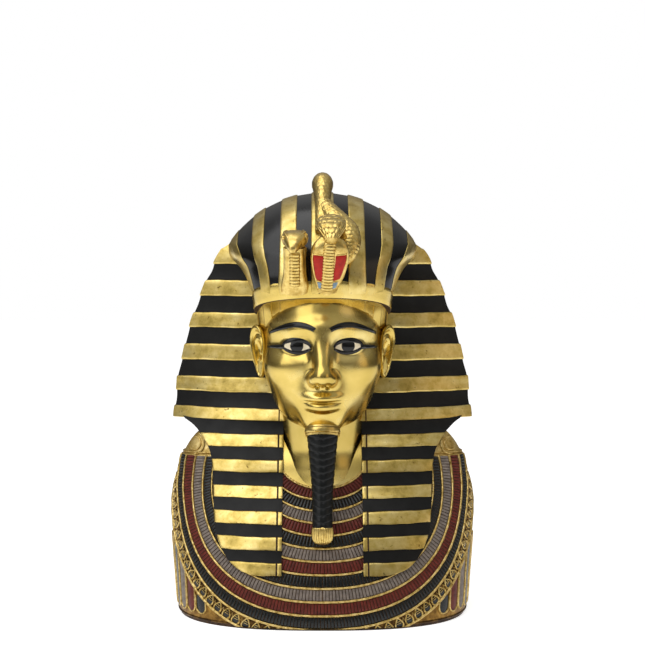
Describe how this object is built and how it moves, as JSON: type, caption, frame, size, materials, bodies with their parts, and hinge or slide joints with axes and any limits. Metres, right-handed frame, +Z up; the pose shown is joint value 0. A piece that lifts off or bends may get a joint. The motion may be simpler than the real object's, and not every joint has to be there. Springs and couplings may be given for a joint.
{
  "type": "pharaoh bust",
  "caption": "Gilt and black lacquered resin bust of a pharaoh in a striped headcloth, with brow cobra, plaited beard and broad bead collar.",
  "frame": {"origin": "centre of the bounding box at the underside, which is the plane the bust stands on", "axes": "+Z up through the head, -Y the way the face looks, +X to the viewer's right"},
  "size_m": [0.3024, 0.2244, 0.4298],
  "materials": {
    "gilding": "burnished gold paint and leaf over cast resin",
    "antique_gold": "gold paint under a brown antique wash",
    "black_lacquer": "satin black lacquer",
    "maroon_enamel": "satin maroon paint with gold wires",
    "grey_enamel": "satin taupe grey paint with gold wires",
    "red_inlay": "glossy red paint in sunk panels",
    "blue_inlay": "glossy blue-grey paint in sunk panels",
    "cream_inlay": "glossy cream paint of the eyes"
  },
  "bodies": {
    "root": {"bust": "gilding"}
  },
  "joints": []
}
